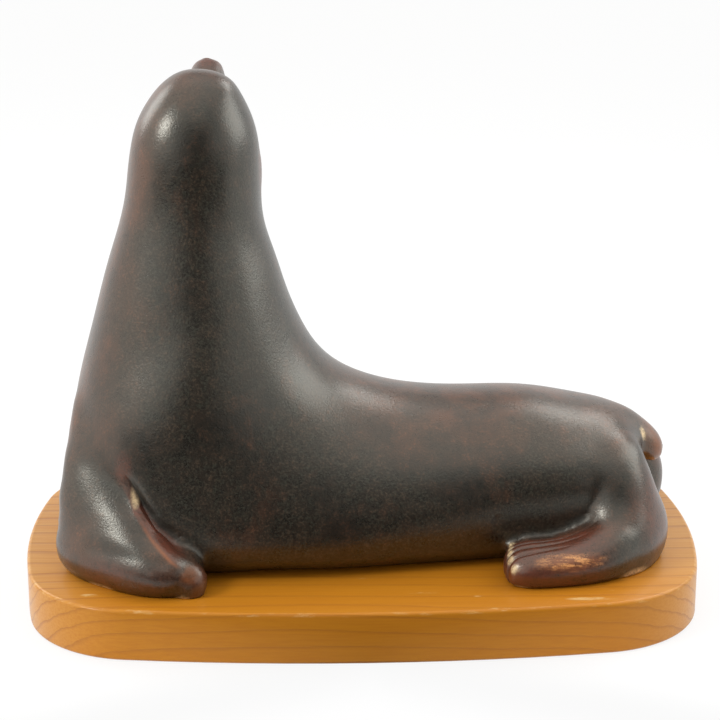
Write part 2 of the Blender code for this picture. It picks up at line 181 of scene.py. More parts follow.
# Hind leg: level sections from the board up to the hip, in the same order
LEG_SECTIONS = [
    (-4, 107, -34, 22, 13.5, 60),
    (0, 107.5, -34, 24, 15.5, 60),
    (7, 108, -34, 25, 17.2, 60),
    (14, 109.2, -34, 24, 16, 60),
    (21, 109.2, -31.5, 21, 14.8, 62),
    (28, 105.2, -28, 17.5, 17.3, 66),
    (35, 101.2, -25, 16.5, 19.3, 70),
    (42, 97.5, -21, 16, 20.5, 70),
    (48, 95, -16.5, 13.5, 20, 70),
    (53, 91, -10, 8, 14, 70),
]

# Hind foot from the toes to the heel: centre x y z, half width outwards, half height
FOOT_SECTIONS = [
    (56.6, -55, 6, 5, 3),
    (57.4, -55, 5.8, 8.5, 5),
    (59.4, -55, 5.6, 11.4, 7),
    (63.5, -55, 5.6, 12.9, 8.3),
    (76, -54.5, 6, 13.5, 9),
    (90, -51, 7, 14.5, 10.5),
    (101, -45, 9.5, 15, 12.5),
    (110, -37, 12, 13, 13),
]

# Instep between the hind foot and the flank, in the same order
INSTEP_SECTIONS = [
    (76, -46, 4.5, 6, 6.4),
    (83, -45.5, 5.6, 7.5, 8.2),
    (90, -44.2, 6.8, 8.6, 9.8),
    (98, -41.5, 10, 9.6, 12.2),
    (106, -37.5, 13, 10.2, 12.8),
]
FAR_HEEL_SHIFT = (8, 9)
HEEL_HEIGHT = 20
HIP_HEIGHT = 48

# Tail: centre x y z, half width, half thickness
TAIL_SECTIONS = [
    (98, 3, 44, 15, 9),
    (108, 3, 46.2, 14, 8.8),
    (115.5, 3, 42.8, 12.5, 8),
    (121.5, 3, 38.4, 11, 7.2),
    (125.8, 3, 33.2, 8.8, 5.6),
    (127.2, 3, 30.4, 4.8, 3),
]

# Lines cut between the five toes, drawn in plan. The far foot has the same lines.
TOE_LINES = [
    [(54, -61.2), (66, -61.4), (84, -58)],
    [(54, -56.4), (70, -56.0), (94, -51.5)],
    [(54, -51.8), (72, -51.2), (97, -46.5)],
    [(54, -47.4), (74, -46.6)],
]
TOE_LINE_DEPTH = 1.9
TOE_HALF_WIDTH = 2.3
TOE_LINE_FADE = 30
TOE_LINE_HEIGHT = 24

# Toenails: centre x y z of each, from the outermost toe in, and radius
NAILS = [
    (59.4, -65.2, 8.4),
    (58.4, -60.0, 10.0),
    (58.4, -55.4, 11.2),
    (58.8, -51.0, 11.8),
    (60.0, -47.4, 11.6),
]
NAIL_RADII = (2.4, 1.9, 2.6)

# Crevice behind the free edge of the front flipper, drawn from the side: x, height
FLIPPER_GAP_LINE = [(-97, 46), (-94.5, 42.5), (-90, 33.5), (-83.3, 25.4), (-76, 19), (-71, 15.6)]
FLIPPER_GAP_DEPTH = 2.2
FLIPPER_GAP_HALF_WIDTH = 0.8
FLIPPER_GAP_FADE = 14
FLIPPER_GAP_FOOT_FADE = FLIPPER_GAP_FADE / 1.8
FLIPPER_RIM_OFFSET = 3.6
FLIPPER_RIM_HALF_WIDTH = 1.5
FLIPPER_RIM_RISE = 0.55
SIDE_REACH = 30

# Patches where the glaze is thin or worn off: centre and radii
TAIL_PATCH = ((125.5, 3, 37), (14, 18, 16))
TAIL_BARE_PATCH = ((119.6, -7.5, 45.6), (1.6, 3, 4.5))
NOSE_PATCH = ((0, 56, 190), (12, 14, 12))
EAR_PATCH = ((27.5, 2, 159), (5.5, 10, 15))
HEEL_PATCH = ((120, -34, 18), (18, 24, 26))
FLIPPER_TOP_PATCH = ((-98, -53, 48), (5, 9, 9))
FLIPPER_LOW_PATCH = ((-94, -64, 7), (32, 16, 10))
# Worn orange glaze on the knob at the flipper's tip, with a painted highlight
KNOB_WEAR_AND_HIGHLIGHT_PATCH = ((-71.5, -70, 9.5), (5, 5, 5))
FLIPPER_BARE_PATCH = ((-92.8, -54, 37.5), (2.5, 9, 5.6))
FOOT_WORN_PATCH = ((84, -67, 11.2), (18, 8, 3.8))

# Unglazed slivers of the ground foot, under the heel and the flipper
GROUND_PATCHES = [
    ((111, -54, 0), (9, 9, 3.6)),
    ((60, -68, 0), (7, 5, 1.8)),
    ((-108, -59, 0), (8, 8, 2.0)),
    ((-74, -73, 0), (3.5, 5, 1.2)),
]

# Shallow hollow between the wrist and the lower edge of the front flipper
FLIPPER_HOLLOW_LINE = [(-112, -60, 17), (-98, -67, 17), (-82, -72, 15)]
FLIPPER_HOLLOW_DEPTH = 0.8
FLIPPER_HOLLOW_HALF_WIDTH = 3.6

# Bare band along the flipper's free edge, as distances from the crevice, less than 0 on the
# flipper: where it starts, where it ends, and the bright ridge on it, which begins along X
BAND_START = (-4.4, -3.9)
BAND_END = (0, -0.6)
RIDGE_AWAY = -4.0
RIDGE_HALF_WIDTH = 0.6
RIDGE_BEGINS = (-92, -84)

# Reach of the painted shade that darkens the crevice, on the body and on the flipper
SHADE_REACH_BODY = 2.2
SHADE_REACH_FLIPPER = 0.9

# Red of the hind foot: where it sets in outwards, downwards, from the heel and from the toes
FOOT_RED_OUTWARDS = (-46, -50)
FOOT_RED_DOWNWARDS = (26, 18)
FOOT_RED_FROM_HEEL = (104, 90)
FOOT_RED_FROM_TOES = (50, 52)

# Where the masks of the whole skin rise from 0 to 1: bulges in millimetres, and parts of the normal
CURVATURE_PASSES = 12
EDGE_BULGE = (0.5, 1.4)
HOLLOW_DEPTH = (0.3, 1.2)
# Sides that face up and towards the chest, painted lighter as where the light falls
LIT_SIDE_UPWARDS = (0.55, 0.95)
LIT_SIDE_FORWARDS = (0.25, 0.75)

# Height above the floor between which the glaze turns redder and lighter towards the board, in
# millimetres
REDDER_LOW_HEIGHTS = (36, 23)

# Colours of the glaze and of the clay under it, as linear red, green and blue
GLAZE_BLACK = (0.009, 0.0065, 0.0045)
GLAZE_BROWN = (0.022, 0.014, 0.009)
GLAZE_OLIVE = (0.038, 0.036, 0.025)
GLAZE_CHESTNUT = (0.090, 0.036, 0.018)
GLAZE_RUST = (0.16, 0.056, 0.024)
GLAZE_THIN = (0.16, 0.050, 0.022)
GLAZE_RED = (0.13, 0.028, 0.012)
GLAZE_ORANGE = (0.26, 0.075, 0.018)
# Painted shade, which darkens the crevice behind the flippers, the toe grooves and the hollows
GLAZE_CREASE_SHADE = (0.006, 0.003, 0.002)
RUBBED_CLAY = (0.64, 0.28, 0.09)
BARE_CLAY = (0.66, 0.48, 0.26)
PINHOLE = (0.002, 0.002, 0.002)
PALE_SPECK = (0.45, 0.42, 0.36)

# White paper under the object: its half size in metres, its colours, and how far in front of the
# middle of the object it turns dark, in millimetres
PAPER_REACH = 6
PAPER_WHITE = (0.88, 0.88, 0.87)
PAPER_DARK = (0.05, 0.05, 0.05)
PAPER_ENDS = (30, 130)

# Lamps: name, place, the point that each is aimed at, width and height in metres, and watts
LAMPS = [
    ("softbox_left", (-0.95, -0.54, 0.90), (-0.08, 0, 0.13), 0.34, 0.34, 6.6),
    ("softbox_left_behind", (-0.60, 0.42, 0.50), (-0.05, 0, 0.1), 0.30, 0.40, 1.3),
    ("softbox_right", (0.45, 0.06, 0.38), (0, 0, 0.1), 0.38, 0.34, 1.1),
    ("softbox_top", (0.36, 0.48, 0.62), (0.06, 0, 0.05), 0.28, 0.20, 0.75),
]

# Brightness of the white tent around the object: everywhere, and added on the right, left and top
TENT_LEVEL = 0.12
TENT_RIGHT = 0.88
TENT_LEFT = 1.12
TENT_TOP = 1.15

# Face, with x measured to each side of the middle of the head
MOUTH_LINE = [(6.8, 30, 176), (7.5, 40, 181), (6.2, 49, 184.5), (3.6, 55, 186), (0, 57.5, 186.4)]
MOUTH_DEPTH = 1.0
MOUTH_HALF_WIDTH = 0.9
NOSTRIL = [(2.6, 56.5, 193.4), (3.9, 55.2, 192)]
NOSTRIL_DEPTH = 1.2
NOSTRIL_HALF_WIDTH = 0.9
EYE_CENTRE = (15.0, 24, 189)
EYE_RADIUS = 3.4
EYE_RISE = 0.9
EYE_LID_DEPTH = 0.7
EYE_LID_HALF_WIDTH = 0.7


class Field:
    """A number that changes over a surface, with arithmetic that adds Math nodes."""

    def __init__(self, finish, socket):
        self.finish = finish
        self.socket = socket

    def math(self, operation, first, second):
        return self.finish.node("ShaderNodeMath", {"operation": operation}, {0: first, 1: second})

    def __add__(self, other):
        return self.math("ADD", self, other)

    __radd__ = __add__

    def __sub__(self, other):
        return self.math("SUBTRACT", self, other)

    def __rsub__(self, other):
        return self.math("SUBTRACT", other, self)

    def __mul__(self, other):
        return self.math("MULTIPLY", self, other)

    def larger(self, other):
        return self.math("MAXIMUM", self, other)

    def smaller(self, other):
        return self.math("MINIMUM", self, other)

    def ramp(self, low, high):
        """0 below low, 1 above high, and smooth between. It falls where high is below low."""
        return self.finish.node(
            "ShaderNodeMapRange",
            {"interpolation_type": "SMOOTHSTEP"},
            {"Value": self, "From Min": low, "From Max": high},
        )


class Finish:
    """A material, with one method that adds any node."""

    def __init__(self, name):
        self.material = bpy.data.materials.new(name)
        self.material.use_nodes = True
        self.tree = self.material.node_tree
        self.shader = self.tree.nodes["Principled BSDF"]

    def plug(self, socket, value):
        if isinstance(value, Field):
            self.tree.links.new(value.socket, socket)
        else:
            socket.default_value = value

    def node(self, kind, settings=None, inputs=None, output=0):
        made = self.tree.nodes.new(kind)
        for name, value in (settings or {}).items():
            setattr(made, name, value)
        for name, value in (inputs or {}).items():
            self.plug(made.inputs[name], value)
        return Field(self, made.outputs[output])

    def place(self):
        """The point on the object, in millimetres."""
        return self.scaled(self.node("ShaderNodeTexCoord", output="Object"), (1000, 1000, 1000))

    def scaled(self, vector, factors):
        return self.node("ShaderNodeVectorMath", {"operation": "MULTIPLY"}, {0: vector, 1: factors})

    def parts(self, vector):
        made = self.tree.nodes.new("ShaderNodeSeparateXYZ")
        self.plug(made.inputs[0], vector)
        return [Field(self, output) for output in made.outputs]

    def noise(self, vector, size, detail=2.0, roughness=0.5, distortion=0.0):
        """Noise with lumps of about the size, in millimetres."""
        inputs = {
            "Vector": vector,
            "Scale": 1 / size,
            "Detail": detail,
            "Roughness": roughness,
            "Distortion": distortion,
        }
        return self.node("ShaderNodeTexNoise", {}, inputs, "Fac")

    def dots(self, vector, spacing, radius, share):
        """Small round dots in some of the cells of a random pattern, 1 in the middle of each."""
        cells = self.tree.nodes.new("ShaderNodeTexVoronoi")
        self.plug(cells.inputs["Vector"], vector)
        cells.inputs["Scale"].default_value = 1 / spacing
        near = Field(self, cells.outputs["Distance"]).ramp(radius / spacing, radius * 0.4 / spacing)
        lot = self.parts(Field(self, cells.outputs["Color"]))[0].ramp(share, share - 0.01)
        return near * lot

    def mask(self, name):
        return self.node("ShaderNodeAttribute", {"attribute_name": name}, output="Fac")

    def mix(self, share, first, second):
        """A colour between two, by the share of the second."""
        inputs = {0: share, 6: self.colour(first), 7: self.colour(second)}
        return self.node("ShaderNodeMix", {"data_type": "RGBA"}, inputs, 2)

    def colour(self, value):
        return value if isinstance(value, Field) else (*value, 1)

    def bump(self, height, distance, strength=1.0, before=None):
        inputs = {"Height": height, "Distance": distance, "Strength": strength}
        if before:
            inputs["Normal"] = before
        return self.node("ShaderNodeBump", {}, inputs)

    def wear(self, **values):
        """Puts values or links on the shader's sockets, named as in Base_Color."""
        for name, value in values.items():
            self.plug(self.shader.inputs[name.replace("_", " ")], value)


def fired_colour(glaze, place, mottle, speckle):
    """Near black glaze, broken by brown, rust and olive, thin on edges, redder near the board, and
    painted lighter with chestnut and rust on the sides that face up and towards the chest, where the
    light falls.
    """
    height = glaze.parts(place)[2]
    cloud = glaze.noise(place, size=42, detail=3, roughness=0.55)
    blush = glaze.noise(glaze.scaled(place, (1, 1, 0.6)), size=17, detail=5, roughness=0.62)
    dark = glaze.mix(mottle.ramp(0.35, 0.65), GLAZE_BLACK, GLAZE_BROWN)
    olive_share = speckle.ramp(0.44, 0.64) * cloud.ramp(0.36, 0.56) * 0.9
    olive = glaze.mix(olive_share, dark, GLAZE_OLIVE)
    # Painted light: the sides that face up and towards the chest get lighter chestnut and rust
    lit_side = glaze.mask("lit_side") * (0.35 + blush.ramp(0.40, 0.62) * 0.65)
    chestnut_share = blush.ramp(0.56, 0.74) * 0.40 + lit_side * (0.4 + speckle * 0.8)
    chestnut = glaze.mix(chestnut_share.smaller(0.9), olive, GLAZE_CHESTNUT)
    rust_level = 0.20 + lit_side * 0.5 + blush.ramp(0.5, 0.75) * 0.3
    rust_share = speckle.ramp(0.50, 0.64) * mottle.ramp(0.44, 0.62) * rust_level
    rust = glaze.mix(rust_share, chestnut, GLAZE_RUST)
    low = height.ramp(*REDDER_LOW_HEIGHTS) * mottle.ramp(0.42, 0.62) * 0.16
    thin_and_low_share = glaze.mask("edge") * (0.4 + speckle * 0.9) + low
    return glaze.mix(thin_and_low_share.smaller(0.9), rust, GLAZE_THIN)


def worn_colour(glaze, fired, place, mottle, speckle):
    """The fired colour, red and orange where the glaze is thin, and clay where it is worn off."""
    red_level = 0.30 + mottle.ramp(0.35, 0.65) * 0.35 + speckle.ramp(0.40, 0.60) * 0.35
    red_share = glaze.mask("red") * red_level
    red = glaze.mix(red_share.smaller(1), fired, GLAZE_RED)
    orange_share = glaze.mask("orange") * (0.55 + mottle.ramp(0.35, 0.6) * 0.45)
    orange = glaze.mix(orange_share.smaller(1), red, GLAZE_ORANGE)
    rub = glaze.noise(glaze.scaled(place, (0.22, 1, 1)), size=1.5, detail=4, roughness=0.7)
    rubbed_share = glaze.mask("worn") * rub.ramp(0.44, 0.62) * speckle.ramp(0.28, 0.55)
    rubbed = glaze.mix(rubbed_share, orange, RUBBED_CLAY)
    bare_level = 0.25 + mottle.ramp(0.35, 0.6) * 0.35 + speckle.ramp(0.36, 0.58) * 0.6
    bare_share = glaze.mask("cream") * bare_level
    return glaze.mix(bare_share.smaller(1), rubbed, BARE_CLAY)


def glaze_finish():
    """Satin iron glaze, with pinholes, pale specks and a slightly uneven skin."""
    glaze = Finish("brown_glaze_fired")
    place = glaze.place()
    mottle = glaze.noise(place, size=5, detail=6, roughness=0.7)
    speckle = glaze.noise(place, size=1.0, detail=3, roughness=0.7)
    grain = glaze.noise(place, size=0.8, detail=2, roughness=0.6)
    peel = glaze.noise(place, size=5, detail=2, roughness=0.5)
    # Painted shade: the crevice, the toe grooves and, at half strength, the hollows are darkened, and
    # are also made rougher
    crease_shade = glaze.mask("crease_shade").larger(glaze.mask("hollow") * 0.5)

    fired = fired_colour(glaze, place, mottle, speckle)
    worn = worn_colour(glaze, fired, place, mottle, speckle)
    pits = glaze.dots(place, spacing=15, radius=0.45, share=0.22)
    pitted = glaze.mix(pits, worn, PINHOLE)
    specks = glaze.dots(place, spacing=11, radius=0.28, share=0.10)
    specked = glaze.mix(specks * 0.7, pitted, PALE_SPECK)
    crease_shaded = glaze.mix(crease_shade * 0.75, specked, GLAZE_CREASE_SHADE)

    gloss = 0.20 + mottle * 0.10 + speckle * 0.08 + crease_shade * 0.4
    peel_bump = glaze.bump(peel, 0.05 * MM)
    grain_bump = glaze.bump(grain + speckle * 0.6, 0.08 * MM, before=peel_bump)
    pit_bump = glaze.bump(1 - pits, 0.3 * MM, before=grain_bump)
    glaze.wear(Base_Color=crease_shaded, Roughness=gloss, Normal=pit_bump)
    glaze.wear(IOR=1.72, Specular_Tint=(1, 0.98, 0.87, 1))
    return glaze.material


def wood_wear(wood, place):
    """Share of the varnish that is worn off: along the top edge, in scuffs and in small chips."""
    along, across, up = wood.parts(place)
    chips = wood.noise(wood.scaled(place, (0.35, 1, 1)), size=4, detail=4, roughness=0.7)
    spread = wood.noise(wood.scaled(place, (0.16, 1, 1)), size=7, detail=3, roughness=0.6)
    edge_wear = wood.mask("edge") * chips.ramp(0.50, 0.72) * 0.55
    scuffs = spread.ramp(0.70, 0.76) * chips.ramp(0.45, 0.6) * 0.5
    for centre, half_size in SCUFFS:
        beside = (along - centre[0]) * (1 / half_size[0])
        before = (across - centre[1]) * (1 / half_size[1])
        oval = (beside * beside + before * before).ramp(1, 0.3)
        scuffs = scuffs + oval * chips.ramp(0.44, 0.62) * 0.7
    return (edge_wear + scuffs * up.ramp(*SCUFF_HEIGHTS)).smaller(0.8)


def wood_finish():
    """Varnished orange softwood, with grain along X, painted paler towards its ends as a sheen."""
    wood = Finish("varnished_softwood")
    place = wood.place()
    along, across, up = wood.parts(place)
    drift = wood.noise(wood.scaled(place, (0.25, 1, 1)), size=60, detail=2, roughness=0.5) - 0.5
    rings = wood.noise(wood.scaled(place, (0.012, 1, 0.55)), size=7, detail=3, roughness=0.6)
    fibre = wood.noise(wood.scaled(place, (0.03, 1, 1)), size=0.9, detail=4, roughness=0.65)
    cloud = wood.noise(wood.scaled(place, (0.3, 1, 1)), size=30, detail=3, roughness=0.5)
    line_place = (across + up * GRAIN_TILT + drift * GRAIN_DRIFT) * (1 / GRAIN_SPACING)
    wave = wood.node("ShaderNodeMath", {"operation": "FRACT"}, {0: line_place + rings * 0.6})
    late = wave.ramp(0.72, 0.97) * wave.ramp(1.0, 0.97)
    ends = (along * along * (1 / PALE_HALF_LENGTH**2)).ramp(0.45, 1.05)

    orange = wood.mix(cloud, WOOD_LIGHT, WOOD_DEEP)
    # Painted sheen: the wood is paler and less orange towards its ends
    sheened = wood.mix(ends * 0.6, orange, WOOD_SHEEN_AT_ENDS)
    streaked = wood.mix(fibre.ramp(0.38, 0.66) * 0.45, sheened, WOOD_FIBRE)
    grained = wood.mix(late * (0.32 + ends * 0.28), streaked, WOOD_LINE)
    worn = wood.mix(wood_wear(wood, place), grained, WOOD_WORN)
    relief = wood.bump(fibre * 0.6 - late, 0.05 * MM)
    wood.wear(Base_Color=worn, Roughness=0.34 + fibre * 0.12, Normal=relief)
    wood.wear(Coat_Weight=0.25, Coat_Roughness=0.14, IOR=1.45, Specular_Tint=(1, 0.72, 0.38, 1))
    return wood.material


def floor_finish():
    """White paper that glows for the camera and keeps a soft shadow, and turns dark in front, where
    only reflections see it.
    """
    paper = Finish("white_paper")
    tree = paper.tree
    x, y, _ = paper.parts(paper.place())
    front = (0 - y - x.larger(0 - x) * 0.5).ramp(*PAPER_ENDS)
    white = paper.mix(front, PAPER_WHITE, PAPER_DARK)
    diffuse = paper.node("ShaderNodeBsdfDiffuse", {}, {"Color": white})
    shown = backdrop_seen(paper, 1 - front)
    glow = paper.node("ShaderNodeEmission", {}, {"Strength": 1.0})
    glow_share = shown * (0.78 + front * 0.22)
    mixed = paper.node("ShaderNodeMixShader", {}, {0: glow_share, 1: diffuse, 2: glow})
    tree.links.new(mixed.socket, tree.nodes["Material Output"].inputs["Surface"])
    return paper.material


def natural_spline(knots, values, places):
    """Values at the places, on a natural cubic spline through one row of values for each knot."""
    count = len(knots)
    gaps = np.diff(knots)
    system = np.eye(count)
    right = np.zeros_like(values)
    for i in range(1, count - 1):
        system[i, i - 1 : i + 2] = gaps[i - 1], 2 * (gaps[i - 1] + gaps[i]), gaps[i]
        rise = (values[i + 1] - values[i]) / gaps[i] - (values[i] - values[i - 1]) / gaps[i - 1]
        right[i] = 6 * rise
    bend = np.linalg.solve(system, right)
    index = np.clip(np.searchsorted(knots, places) - 1, 0, count - 2)
    gap = gaps[index][:, None]
    after = (knots[index + 1] - places)[:, None] / gap
    before = 1 - after
    straight = after * values[index] + before * values[index + 1]
    curved = (after**3 - after) * bend[index] + (before**3 - before) * bend[index + 1]
    return straight + curved * gap**2 / 6


def fine_rows(rows, centres):
    """The rows with more between them, a ring spacing apart along their centres."""
    rows = np.array(rows, float)
    steps = np.linalg.norm(np.diff(centres, axis=0), axis=1)
    knots = np.concatenate([[0], np.cumsum(steps)])
    count = max(2, round(knots[-1] * MM / RING_SPACING))
    return natural_spline(knots, rows, np.linspace(0, knots[-1], count + 1))


def superellipse(power_above, power_below):
    """One turn of across and up, each from -1 to 1, with a roundness for the part above and below."""
    angle = np.linspace(0, 2 * math.pi, RING_POINTS, endpoint=False)
    power = np.where(np.sin(angle) >= 0, power_above, power_below)
    across = np.sign(np.cos(angle)) * np.abs(np.cos(angle)) ** (2 / power)
    up = np.sign(np.sin(angle)) * np.abs(np.sin(angle)) ** (2 / power)
    return across, up


def loft(rings):
    """A closed mesh over rings of equally many points, with a cap on the first and the last."""
    mesh = bmesh.new()
    rows = [[mesh.verts.new(Vector(point) * MM) for point in ring] for ring in rings]
    for lower, upper in zip(rows, rows[1:]):
        for i in range(len(lower)):
            j = (i + 1) % len(lower)
            mesh.faces.new((lower[i], lower[j], upper[j], upper[i]))
    mesh.faces.new(rows[0])
    mesh.faces.new(rows[-1])
    bmesh.ops.recalc_face_normals(mesh, faces=mesh.faces)
    bmesh.ops.translate(mesh, vec=(0, 0, FLOOR), verts=mesh.verts)
    return mesh


def body_form():
    """Trunk and neck, each section lying in the plane through its back and belly points."""
    rows = np.array(BODY_SECTIONS, float)
    centres = (rows[:, 0:2] + rows[:, 2:4]) / 2
    rings = []
    for row in fine_rows(rows, centres):
        back_x, back_z, belly_x, belly_z, half_width, widest, above, below = row
        back = np.array([back_x, 0, back_z])
        belly = np.array([belly_x, 0, belly_z])
        across, up = superellipse(above, below)
        share = np.where(up >= 0, widest + (1 - widest) * up, widest + widest * up)
        ring = belly + share[:, None] * (back - belly)
        ring[:, 1] = half_width * across
        rings.append(ring)
    return loft(rings)


def head_middle(y):
    return HEAD_MIDDLE_X + HEAD_TURN * y


def path_form(sections, outward, roundness=2.0):
    """A form along a path, with oval sections square to it. Its width runs along outward."""
    rows = fine_rows(sections, np.array(sections, float)[:, :3])
    centres = rows[:, :3]
    ways = np.gradient(centres, axis=0)
    across, up = superellipse(roundness, roundness)
    rings = []
    for centre, way, (half_width, half_height) in zip(centres, ways, rows[:, 3:5]):
        way = way / np.linalg.norm(way)
        side = np.array(outward, float) - np.dot(outward, way) * way
        side = side / np.linalg.norm(side)
        top = np.cross(way, side)
        rings.append(centre + np.outer(half_width * across, side) + np.outer(half_height * up, top))
    return loft(rings)


def level_form(sections, roundness=2.2):
    """A form of level sections, each turned about the vertical."""
    rows = fine_rows(sections, np.array(sections, float)[:, :3])
    along, aside = superellipse(roundness, roundness)
    rings = []
    for height, x, y, half_length, half_width, degrees in rows:
        turn = math.radians(degrees)
        ring = np.zeros((RING_POINTS, 3))
        ring[:, 0] = x + half_length * along * math.cos(turn) - half_width * aside * math.sin(turn)
        ring[:, 1] = y + half_length * along * math.sin(turn) + half_width * aside * math.cos(turn)
        ring[:, 2] = height
        rings.append(ring)
    return loft(rings)


def mirrored(form, heel_shift=(0, 0)):
    """The same form on the far side, with its heel moved along and out, and its hip in place."""
    copy = form.copy()
    bmesh.ops.transform(copy, matrix=Matrix.Scale(-1, 4, (0, 1, 0)), verts=copy.verts)
    for vertex in copy.verts:
        height = (vertex.co.z - FLOOR) / MM
        share = min(1, max(0, (HIP_HEIGHT - height) / (HIP_HEIGHT - HEEL_HEIGHT)))
        vertex.co.x += heel_shift[0] * MM * share
        vertex.co.y += heel_shift[1] * MM * share
    bmesh.ops.reverse_faces(copy, faces=copy.faces)
    return copy


def as_object(name, form):
    mesh = bpy.data.meshes.new(name)
    form.to_mesh(mesh)
    form.free()
    made = bpy.data.objects.new(name, mesh)
    bpy.context.scene.collection.objects.link(made)
    return made


def apply_modifiers(made):
    graph = bpy.context.evaluated_depsgraph_get()
    mesh = bpy.data.meshes.new_from_object(made.evaluated_get(graph))
    made.modifiers.clear()
    made.data = mesh


def distance_to_line(points, line):
    """Distance of each point from a line of straight stretches, and how far along it is."""
    nearest = np.full(len(points), np.inf)
    along = np.zeros(len(points))
    run = 0.0
    for start, end in zip(line, line[1:]):
        stretch = end - start
        length = np.linalg.norm(stretch)
        share = np.clip((points - start) @ stretch / length**2, 0, 1)
        away = np.linalg.norm(points - start - share[:, None] * stretch, axis=1)
        closer = away < nearest
        nearest[closer] = away[closer]
        along[closer] = (run + share * length)[closer]
        run += length
    return nearest, along, run


def groove(places, line, depth, half_width):
    """Depth of a rounded groove along a line, at each place."""
    away, _, _ = distance_to_line(places, np.array(line, float))
    return depth * np.exp(-((away / half_width) ** 2))


def flipper_gap(places):
    """Distance from the crevice seen from the side, less than 0 on the flipper, and its strength."""
    line = np.array(FLIPPER_GAP_LINE, float)
    flat = places[:, [0, 2]]
    away, along, length = distance_to_line(flat, line)
    drop = np.interp(flat[:, 0], line[:, 0], line[:, 1])
    signed = np.where(flat[:, 1] < drop, -away, away)
    ends = np.minimum(along / FLIPPER_GAP_FADE, (length - along) / FLIPPER_GAP_FOOT_FADE)
    strength = np.clip(ends, 0, 1) * (places[:, 1] < -SIDE_REACH)
    return signed, strength


def flipper_edge(places):
    """Depth of the crevice behind the flipper, with the flipper's free edge standing up beside it."""
    away, strength = flipper_gap(places)
    reach = np.where(away > 0, FLIPPER_GAP_HALF_WIDTH * 2, FLIPPER_GAP_HALF_WIDTH)
    cut = FLIPPER_GAP_DEPTH * np.exp(-((away / reach) ** 2))
    rise = FLIPPER_RIM_RISE * np.exp(-(((away + FLIPPER_RIM_OFFSET) / FLIPPER_RIM_HALF_WIDTH) ** 2))
    return strength * (cut - rise)


def toe_grooves(places):
    """Grooves between the toes, deepest at their tips and fading along the foot."""
    total = np.zeros(len(places))
    for line in TOE_LINES:
        away, along, length = distance_to_line(places[:, :2], np.array(line, float))
        fade = np.clip((length - along) / TOE_LINE_FADE, 0, 1)
        beside = 1 - np.clip(away / TOE_HALF_WIDTH, 0, 1)
        total = np.maximum(total, TOE_LINE_DEPTH * fade * (1 - np.sqrt(1 - beside**2)))
    return np.where(places[:, 2] < TOE_LINE_HEIGHT, total, 0)


def eye_relief(places):
    """A low round eyeball inside a fine lid line."""
    away = np.linalg.norm(places - np.array(EYE_CENTRE), axis=1)
    ball = EYE_RISE * np.sqrt(np.clip(1 - (away / EYE_RADIUS) ** 2, 0, 1))
    lid = EYE_LID_DEPTH * np.exp(-(((away - EYE_RADIUS) / EYE_LID_HALF_WIDTH) ** 2))
    return lid - ball


def skin_points(mesh):
    """Places of the skin in millimetres above the board, and its normals."""
    count = len(mesh.vertices)
    places = np.empty(count * 3)
    normals = np.empty(count * 3)
    mesh.vertices.foreach_get("co", places)
    mesh.vertices.foreach_get("normal", normals)
    return (places.reshape(-1, 3) - np.array([0, 0, FLOOR])) / MM, normals.reshape(-1, 3)


def near_side(clay):
    """The places folded onto the near side, and again with the far foot on the near one."""
    near = np.stack([clay[:, 0], -np.abs(clay[:, 1]), clay[:, 2]], 1)
    foot = near.copy()
    far = clay[:, 1] > 0
    foot[far, 0] -= FAR_HEEL_SHIFT[0]
    foot[far, 1] += FAR_HEEL_SHIFT[1]
    return near, foot


def detail_distance(clay):
    """Distance in millimetres of each place from the fine carving: toes, flippers' edges and face."""
    near, foot = near_side(clay)
    away, strength = flipper_gap(near)
    flipper = np.where(strength > 0, np.abs(away + FLIPPER_RIM_OFFSET / 2), np.inf)
    toe_lines = [np.array(line, float) for line in TOE_LINES]
    toes = np.minimum.reduce([distance_to_line(foot[:, :2], line)[0] for line in toe_lines])
    toes[foot[:, 2] >= TOE_LINE_HEIGHT] = np.inf
    head = head_side(clay)
    face = [distance_to_line(head, np.array(line, float))[0] for line in (MOUTH_LINE, NOSTRIL)]
    eye = np.linalg.norm(head - np.array(EYE_CENTRE), axis=1) - EYE_RADIUS
    return np.minimum.reduce([flipper, toes, eye, *face])


def refine(seal, reach):
    """Divides the faces near the fine carving."""
    clay, _ = skin_points(seal.data)
    near = detail_distance(clay) < reach
    mesh = bmesh.new()
    mesh.from_mesh(seal.data)
    mesh.verts.ensure_lookup_table()
    edges = [edge for edge in mesh.edges if near[edge.verts[0].index] and near[edge.verts[1].index]]
    bmesh.ops.subdivide_edges(mesh, edges=edges, cuts=1, use_grid_fill=True, smooth=0.6)
    bmesh.ops.triangulate(mesh, faces=[face for face in mesh.faces if len(face.verts) > 4])
    mesh.to_mesh(seal.data)
    mesh.free()


def head_side(clay):
    """The places with x measured from the middle of the head, to either side."""
    return np.stack([np.abs(clay[:, 0] - head_middle(clay[:, 1])), clay[:, 1], clay[:, 2]], 1)


def carve(mesh):
    """Moves the skin in along the grooves, on both sides of the figure."""
    clay, normals = skin_points(mesh)
    near, foot = near_side(clay)
    depth = toe_grooves(foot)
    depth += flipper_edge(near)
    depth += groove(near, FLIPPER_HOLLOW_LINE, FLIPPER_HOLLOW_DEPTH, FLIPPER_HOLLOW_HALF_WIDTH)
    head = head_side(clay)
    depth += groove(head, MOUTH_LINE, MOUTH_DEPTH, MOUTH_HALF_WIDTH)
    depth += groove(head, NOSTRIL, NOSTRIL_DEPTH, NOSTRIL_HALF_WIDTH)
    depth += eye_relief(head)
    clay -= normals * depth[:, None]
    places = clay * MM + np.array([0, 0, FLOOR])
    mesh.vertices.foreach_set("co", places.ravel())
    mesh.update()


def store_mask(mesh, name, values):
    layer = mesh.attributes.new(name, "FLOAT", "POINT")
    layer.data.foreach_set("value", np.clip(values, 0, 1).astype(np.float32))


